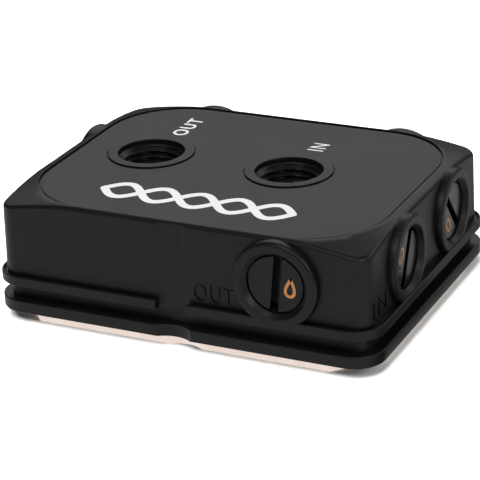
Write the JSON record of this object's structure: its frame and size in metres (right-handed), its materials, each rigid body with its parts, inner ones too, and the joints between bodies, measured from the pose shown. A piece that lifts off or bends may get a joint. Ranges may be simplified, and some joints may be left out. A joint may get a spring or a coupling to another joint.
{
  "type": "liquid cooling cold plate",
  "caption": "Black moulded water block with threaded top and side ports, slotted port plugs and a bracket groove, over a finned bare copper contact plate.",
  "frame": {"origin": "centre of the copper contact face, at the bottom of the block", "axes": "+Z out of the two open top ports, +X along the long side, +Y from the front wall with the lip notch towards the back wall"},
  "size_m": [0.082, 0.0642, 0.026],
  "materials": {
    "housing": "satin black moulded engineering plastic",
    "copper": "bare ground copper",
    "jet_plate": "thin stainless sheet",
    "seals": "soft black sealing rubber",
    "plugs": "gloss black plated brass"
  },
  "bodies": {
    "root": {"housing": "housing", "cold_plate": "copper", "jet_plate": "jet_plate", "jet_gasket": "seals", "base_seal": "seals", "plug_front": "plugs", "plug_right_front": "plugs", "plug_right_rear": "plugs", "plug_left": "plugs", "plug_back_left": "plugs", "plug_back_right": "plugs", "plug_seal_front": "seals", "plug_seal_right_front": "seals", "plug_seal_right_rear": "seals", "plug_seal_left": "seals", "plug_seal_back_left": "seals", "plug_seal_back_right": "seals"}
  },
  "joints": []
}
